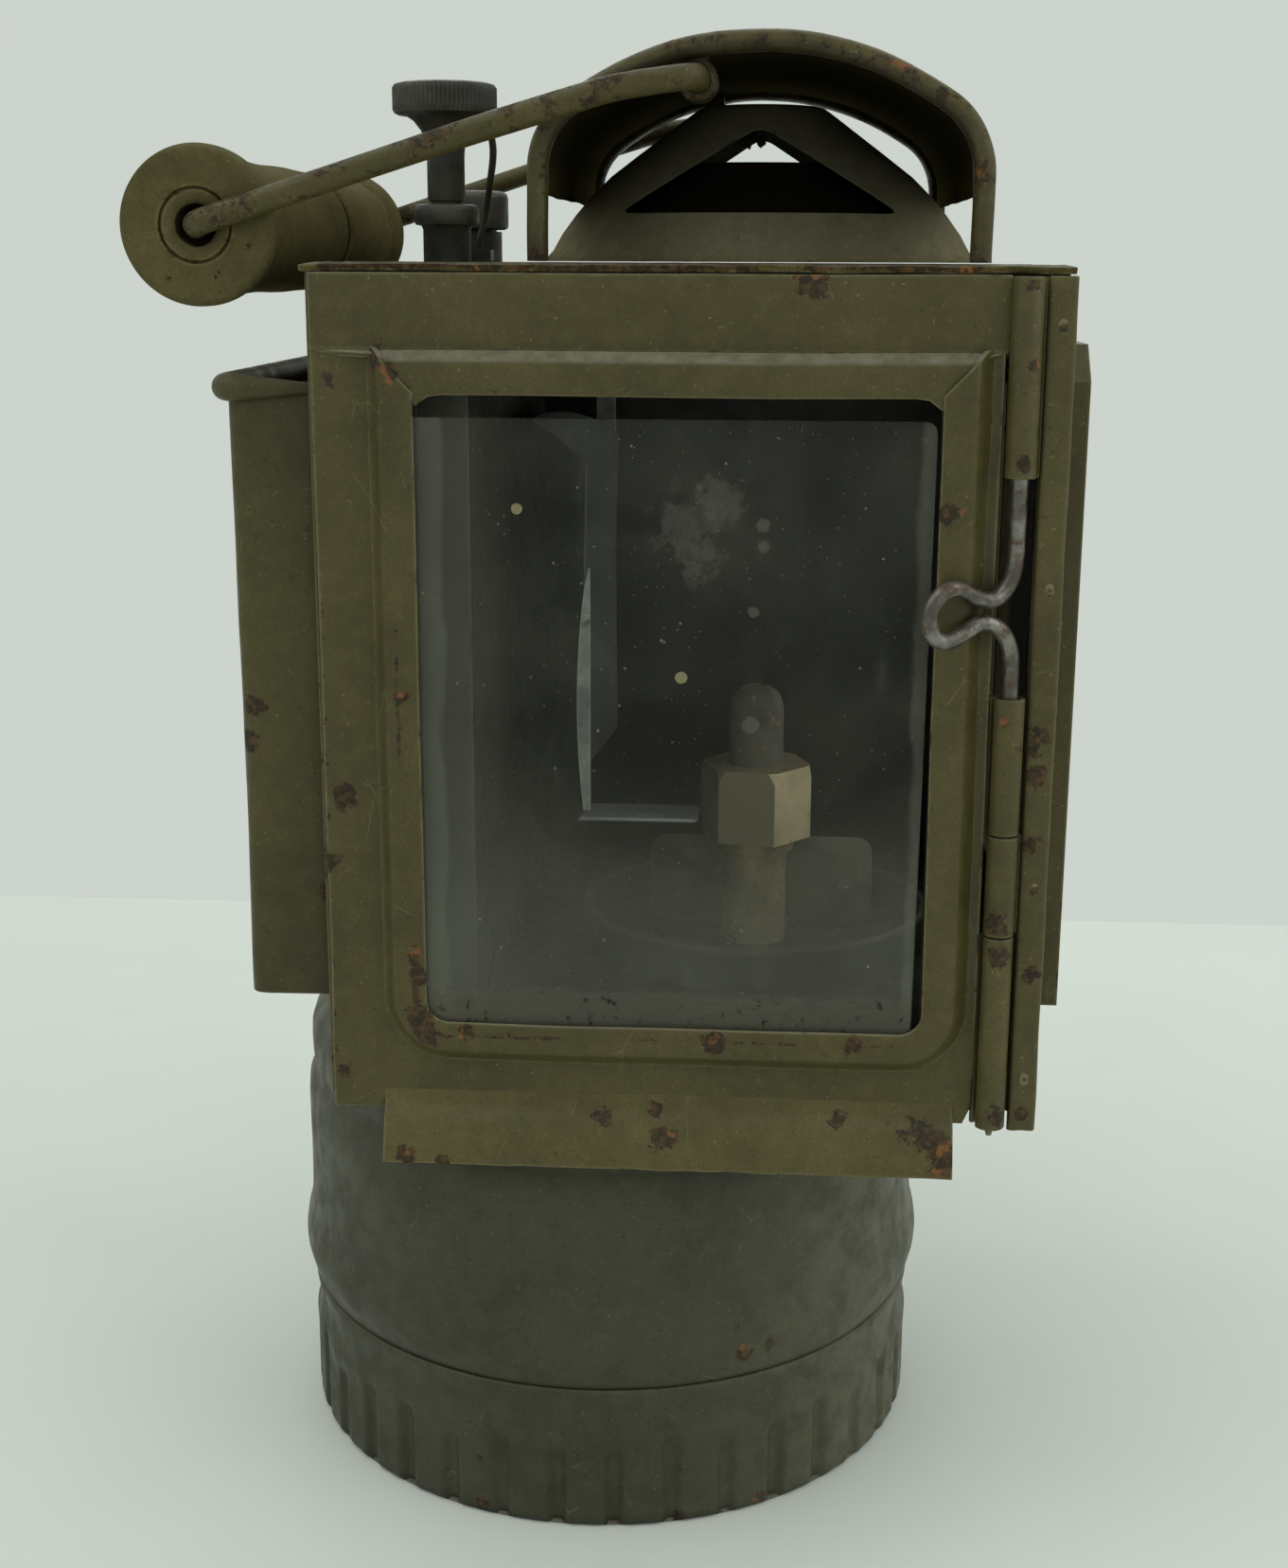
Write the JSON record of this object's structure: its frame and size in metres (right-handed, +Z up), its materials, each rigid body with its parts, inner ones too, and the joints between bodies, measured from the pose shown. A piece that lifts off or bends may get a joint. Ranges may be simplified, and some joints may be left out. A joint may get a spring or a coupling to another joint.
{
  "type": "carbide lamp",
  "caption": "Box-headed carbide lamp with a glazed hinged door, round twist-off carbide pot, water tank with needle valve, arched hood and swinging bail with turned grip.",
  "frame": {"origin": "centre of the round base's underside, on the axis of the generator", "axes": "+Z up, -Y out of the glazed front door, +X towards the door's hinge and the side window"},
  "size_m": [0.1631, 0.1418, 0.2725],
  "materials": {
    "olive_head": "worn olive-drab paint over sheet steel, chipped and rust-stained at the edges",
    "olive_base": "darker grey-olive paint, dusty, chipped at the bottom rim",
    "olive_wire": "olive paint on steel wire, rubbed bare at the bends",
    "sooty_paint": "olive paint blackened by soot round the openings",
    "dark_inside": "dark, sooty and rusty sheet steel",
    "zinc_sheet": "dull zinc-coated sheet with lime dust",
    "tarnished_sheet": "tarnished reflector sheet, dull with brown spots",
    "bare_steel": "bare steel wire with brown rust",
    "old_brass": "oxidised brass",
    "dark_brass": "brass blackened by handling and old paint",
    "burner_stone": "cream ceramic burner tip with brown scorch",
    "dusty_glass": "clear glass with dust, specks and wiped streaks",
    "gasket_rubber": "old black rubber",
    "grip_wood": "turned wood under worn olive paint"
  },
  "bodies": {
    "lamp": {"generator_body": "olive_base", "housing_shell": "olive_head", "roof_plate": "olive_head", "floor_plate": "dark_inside", "collar_ring": "dark_inside", "hinge_leaf": "olive_head", "gas_tube": "old_brass", "burner_nut": "old_brass", "burner_tip": "burner_stone", "wing_plate": "tarnished_sheet", "reflector": "tarnished_sheet", "reflector_hanger": "zinc_sheet", "chimney_baffle": "sooty_paint", "chimney_cone": "sooty_paint", "cowl_sheet": "olive_head", "cowl_frame_front": "olive_head", "cowl_frame_rear": "olive_head", "bail_sockets": "olive_head", "water_tank": "dark_inside", "valve_seat": "old_brass", "drip_tube": "old_brass", "valve_gland": "dark_brass", "detent_spring": "bare_steel", "spring_block": "dark_brass", "filler_neck": "dark_brass", "side_pocket": "olive_head", "side_window_frame": "olive_head", "side_glass": "dusty_glass", "hinge_rivets": "olive_head"},
    "pot": {"carbide_pot": "olive_base", "carbide_container": "zinc_sheet", "pot_gasket": "gasket_rubber"},
    "door": {"door_frame": "olive_head", "door_top_rail": "olive_head", "door_glass": "dusty_glass", "glass_retainer": "dark_inside", "hinge_pin": "bare_steel"},
    "bail": {"bail": "olive_wire"},
    "grip": {"grip": "grip_wood"},
    "needle": {"valve_needle": "old_brass"},
    "knob": {"valve_knob": "dark_brass"},
    "filler_cap": {"filler_cap": "dark_brass"}
  },
  "joints": [
    {"name": "door_hinge", "type": "hinge", "parent": "lamp", "child": "door", "pos_m": [0.0725, -0.066, 0.15], "axis": [0, 0, 1], "range_deg": [0, 120]},
    {"name": "bail_swing", "type": "hinge", "parent": "lamp", "child": "bail", "pos_m": [0.0184, 0, 0.2639], "axis": [0, 1, 0], "range_deg": [-4, 205]},
    {"name": "grip_spin", "type": "hinge", "parent": "bail", "child": "grip", "pos_m": [-0.06435, 0, 0.2404], "axis": [0, 1, 0], "continuous": true},
    {"name": "needle_lift", "type": "slide", "parent": "lamp", "child": "needle", "axis": [0, 0, 1], "range_m": [0, 0.003]},
    {"name": "knob_turn", "type": "hinge", "parent": "needle", "child": "knob", "pos_m": [-0.032, 0, 0.255], "axis": [0, 0, 1], "range_deg": [0, 1080]},
    {"name": "cap_lift", "type": "slide", "parent": "lamp", "child": "filler_cap", "axis": [0, 0, 1], "range_m": [0, 0.012]},
    {"name": "pot_turn", "type": "hinge", "parent": "lamp", "child": "pot", "pos_m": [0, 0, 0.02], "axis": [0, 0, 1], "range_deg": [0, 30]}
  ],
  "couplings": [
    {"joint": "knob_turn", "follows": "needle_lift", "rad_per_m": 6283.2}
  ]
}
